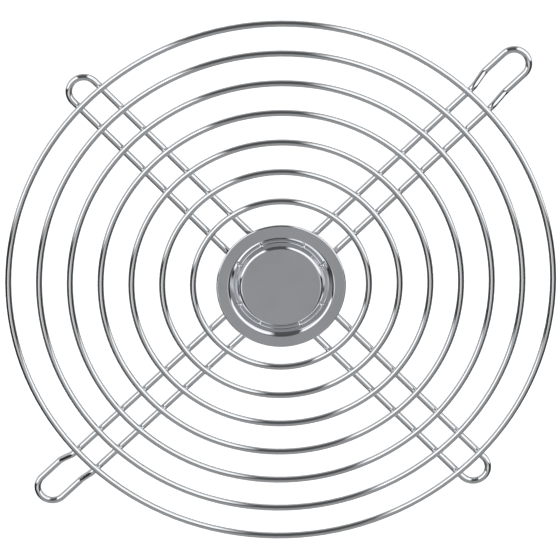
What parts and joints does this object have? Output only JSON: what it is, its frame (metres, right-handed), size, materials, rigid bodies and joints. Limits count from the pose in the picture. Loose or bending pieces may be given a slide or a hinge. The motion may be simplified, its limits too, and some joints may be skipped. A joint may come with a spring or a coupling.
{
  "type": "wire fan guard",
  "caption": "Round wire fan guard: concentric rings welded across radial hairpins, a pressed centre disc, and set-back wire loops for the screws.",
  "frame": {"origin": "on the guard's axis, in the plane that the undersides of the screw loops rest on", "axes": "+Z along the axis, out of the guard's front, where the rings are; +X along the long hairpins, towards a screw loop; +Y along the short hairpins"},
  "size_m": [0.1712, 0.1504, 0.0076],
  "materials": {
    "ring_wire": "bright nickel-chrome plated steel wire",
    "hairpin_wire": "bright nickel-chrome plated steel wire",
    "disc_sheet": "bright nickel-chrome plated steel sheet"
  },
  "bodies": {
    "root": {"ring_1": "ring_wire", "ring_2": "ring_wire", "ring_3": "ring_wire", "ring_4": "ring_wire", "ring_5": "ring_wire", "ring_6": "ring_wire", "ring_7": "ring_wire", "long_hairpin_1": "hairpin_wire", "long_hairpin_2": "hairpin_wire", "short_hairpin_1": "hairpin_wire", "short_hairpin_2": "hairpin_wire", "centre_disc": "disc_sheet"}
  },
  "joints": []
}
